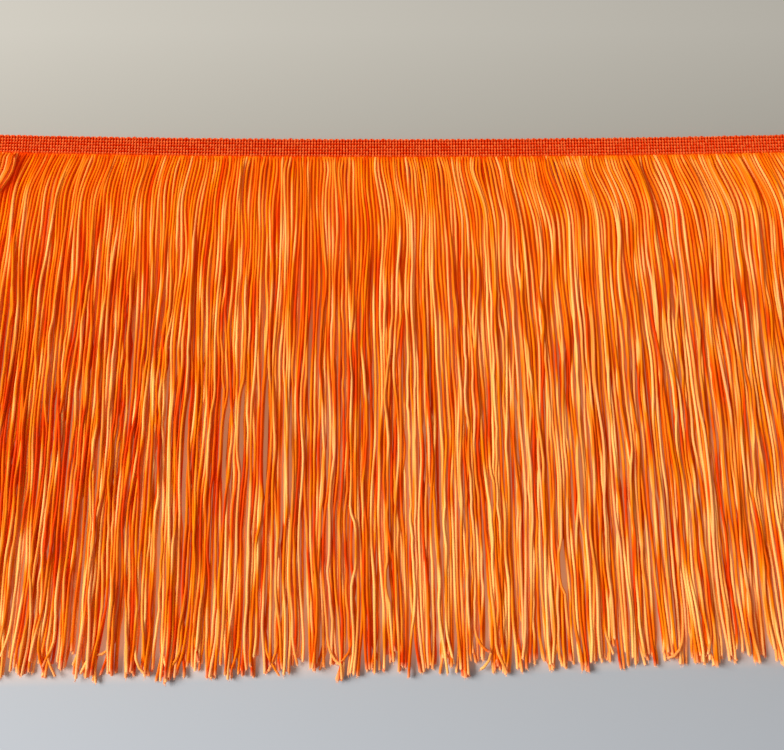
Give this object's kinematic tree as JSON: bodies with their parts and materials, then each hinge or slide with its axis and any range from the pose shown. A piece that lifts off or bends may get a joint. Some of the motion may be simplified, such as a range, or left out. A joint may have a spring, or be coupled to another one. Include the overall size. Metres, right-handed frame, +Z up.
{
  "type": "chainette fringe trim",
  "caption": "Flat cut length of bright orange chainette fringe: a narrow knitted heading braid with a dense fall of thin cord strands, blunt cut at the hem, lying face up.",
  "frame": {"origin": "middle of the heading braid's flat underside, on the surface that the trim lies on", "axes": "+X along the heading, +Y from the fringe towards the heading's outer edge, +Z up from the surface to the face that shows"},
  "size_m": [0.3416, 0.2038, 0.0032],
  "materials": {
    "heading_braid": "knitted yarn, matte with a slight sheen",
    "fringe_cord": "smooth chainette cord with a soft sheen"
  },
  "bodies": {
    "root": {"heading": "heading_braid", "fringe_upper": "fringe_cord", "fringe_lower": "fringe_cord"}
  },
  "joints": []
}
